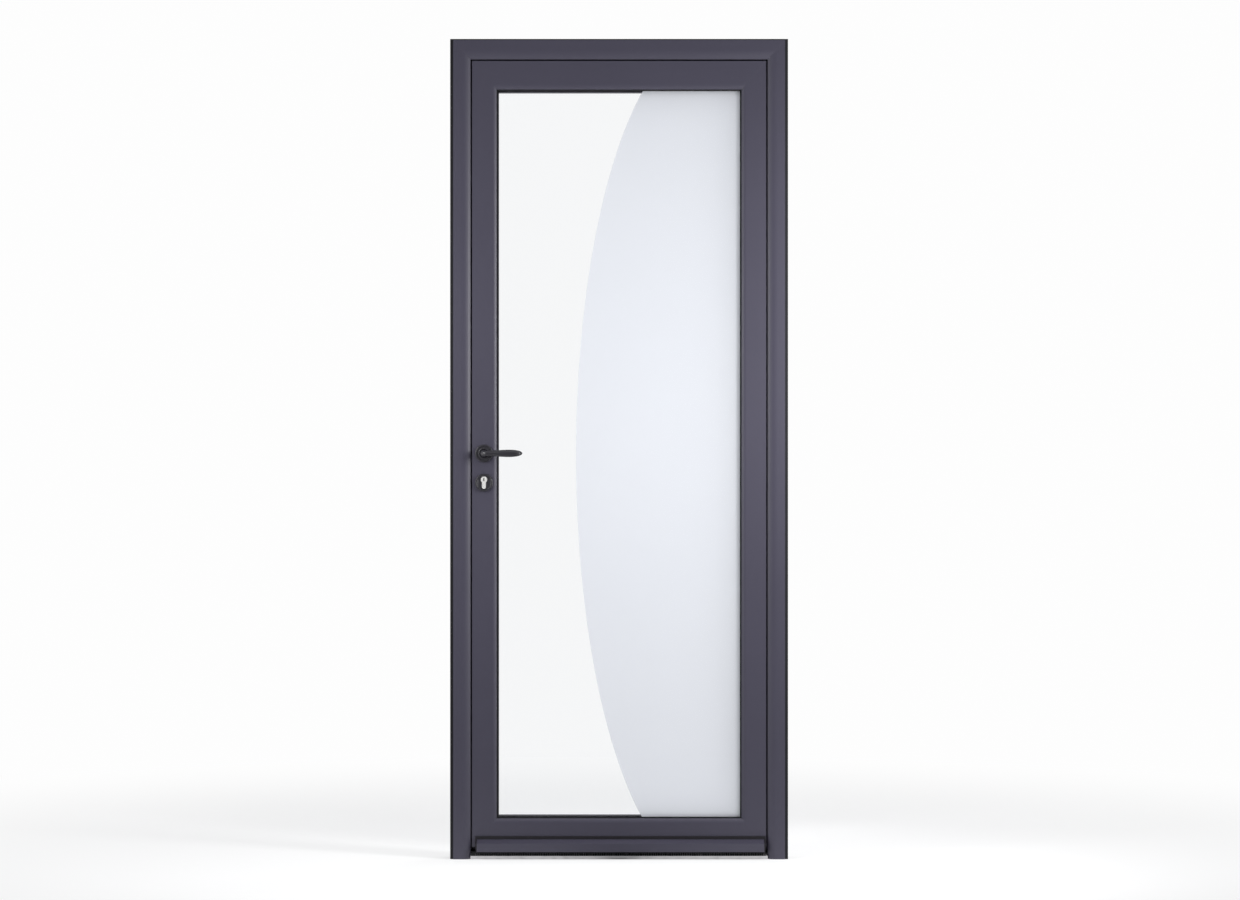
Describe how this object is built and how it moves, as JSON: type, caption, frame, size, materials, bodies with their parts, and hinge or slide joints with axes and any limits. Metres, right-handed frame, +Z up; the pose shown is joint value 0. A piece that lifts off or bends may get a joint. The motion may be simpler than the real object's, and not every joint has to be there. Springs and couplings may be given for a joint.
{
  "type": "glass entrance door",
  "caption": "Inward-opening aluminium entrance door in its frame, with a full-height double-glazed unit part frosted along an arc, lever handles, a three-point lock and a weather bar.",
  "frame": {"origin": "under the middle of the threshold, halfway through the frame's depth, on the face that lies on the floor", "axes": "+X to the right seen from outside, +Y from outside to inside, +Z up"},
  "size_m": [0.9, 0.167, 2.185],
  "materials": {
    "coated_aluminium": "satin anthracite powder coat",
    "hinge_coating": "satin anthracite powder coat",
    "bare_aluminium": "satin mill finish",
    "polyamide": "matt glass-filled polyamide",
    "black_plastic": "fine-grained black plastic",
    "seal_rubber": "matt black EPDM",
    "brush_pile": "black pile",
    "lock_steel": "brushed stainless steel",
    "screw_steel": "zinc-plated",
    "nickel": "satin nickel plate",
    "matte_black": "matt black coating",
    "frosted_glass": "clear float glass, sandblasted to one side of a long arc",
    "clear_glass": "clear float glass"
  },
  "bodies": {
    "frame": {"left_jamb_outer": "coated_aluminium", "left_jamb_inner": "coated_aluminium", "right_jamb_outer": "coated_aluminium", "right_jamb_inner": "coated_aluminium", "head_outer": "coated_aluminium", "head_inner": "coated_aluminium", "frame_thermal_breaks": "polyamide", "frame_corner_cleats": "bare_aluminium", "threshold_outer": "bare_aluminium", "threshold_inner": "bare_aluminium", "threshold_end_blocks": "black_plastic", "threshold_brush": "brush_pile", "central_gasket": "seal_rubber", "wall_seal_strips": "seal_rubber", "strike_plates": "lock_steel", "frame_screws": "screw_steel", "hinge_frame_leaves": "hinge_coating", "hinge_pins": "lock_steel"},
    "leaf": {"lock_stile_outer": "coated_aluminium", "lock_stile_inner": "coated_aluminium", "hinge_stile_outer": "coated_aluminium", "hinge_stile_inner": "coated_aluminium", "top_rail_outer": "coated_aluminium", "top_rail_inner": "coated_aluminium", "bottom_rail_outer": "coated_aluminium", "bottom_rail_inner": "coated_aluminium", "sash_thermal_breaks": "polyamide", "sash_corner_cleats": "bare_aluminium", "weather_bar": "coated_aluminium", "weather_bar_base": "black_plastic", "weather_bar_caps": "black_plastic", "outer_glazing_gasket": "seal_rubber", "outer_pane": "frosted_glass", "spacer_frame": "polyamide", "edge_sealant": "seal_rubber", "inner_pane": "clear_glass", "inner_glazing_gasket": "seal_rubber", "glazing_beads": "coated_aluminium", "setting_blocks": "polyamide", "inner_lip_seal": "seal_rubber", "lock_faceplate": "lock_steel", "lock_case": "lock_steel", "hook_cases": "lock_steel", "cylinder_body": "nickel", "roses": "matte_black", "escutcheons": "matte_black", "hinge_sash_leaves": "hinge_coating", "sash_screws": "screw_steel"},
    "levers": {"outer_lever": "matte_black", "inner_lever": "matte_black", "spindle": "lock_steel", "follower": "lock_steel"},
    "latch": {"latch_bolt": "lock_steel"},
    "deadbolt": {"deadbolt": "lock_steel"},
    "upper_hook": {"upper_hook": "lock_steel"},
    "lower_hook": {"lower_hook": "lock_steel"},
    "drive_rods": {"drive_rods": "lock_steel"},
    "cam": {"cam": "lock_steel"},
    "outer_plug": {"outer_plug": "nickel"},
    "inner_plug": {"inner_plug": "nickel"}
  },
  "joints": [
    {"name": "door_swing", "type": "hinge", "parent": "frame", "child": "leaf", "pos_m": [0.414, 0.053, 1.0925], "axis": [0, 0, -1], "range_deg": [0, 110]},
    {"name": "lever_turn", "type": "hinge", "parent": "leaf", "child": "levers", "pos_m": [-0.36, 0.026, 1.081], "axis": [0, 1, 0], "range_deg": [0, 40], "stiffness_Nm_per_rad": 0.6, "springref_deg": -20.05},
    {"name": "latch_slide", "type": "slide", "parent": "leaf", "child": "latch", "axis": [1, 0, 0], "range_m": [0, 0.01104]},
    {"name": "outer_key_turn", "type": "hinge", "parent": "leaf", "child": "outer_plug", "pos_m": [-0.36, 0.026, 1.011], "axis": [0, -1, 0], "range_deg": [0, 360]},
    {"name": "inner_key_turn", "type": "hinge", "parent": "leaf", "child": "inner_plug", "pos_m": [-0.36, 0.026, 1.011], "axis": [0, 1, 0], "range_deg": [0, 360]},
    {"name": "cam_turn", "type": "hinge", "parent": "leaf", "child": "cam", "pos_m": [-0.36, 0.026, 1.011], "axis": [0, -1, 0], "range_deg": [0, 360]},
    {"name": "deadbolt_slide", "type": "slide", "parent": "leaf", "child": "deadbolt", "axis": [-1, 0, 0], "range_m": [0, 0.02]},
    {"name": "drive_rod_slide", "type": "slide", "parent": "leaf", "child": "drive_rods", "axis": [0, 0, 1], "range_m": [0, 0.02]},
    {"name": "upper_hook_turn", "type": "hinge", "parent": "leaf", "child": "upper_hook", "pos_m": [-0.392, 0.026, 1.74], "axis": [0, -1, 0], "range_deg": [0, 90]},
    {"name": "lower_hook_turn", "type": "hinge", "parent": "leaf", "child": "lower_hook", "pos_m": [-0.392, 0.026, 0.42], "axis": [0, -1, 0], "range_deg": [0, 90]}
  ],
  "couplings": [
    {"joint": "latch_slide", "follows": "lever_turn", "m_per_rad": 0.0158},
    {"joint": "outer_key_turn", "follows": "drive_rod_slide", "rad_per_m": 314.16},
    {"joint": "cam_turn", "follows": "drive_rod_slide", "rad_per_m": 314.16},
    {"joint": "deadbolt_slide", "follows": "drive_rod_slide", "ratio": 1},
    {"joint": "upper_hook_turn", "follows": "drive_rod_slide", "rad_per_m": 78.54},
    {"joint": "lower_hook_turn", "follows": "drive_rod_slide", "rad_per_m": 78.54}
  ]
}
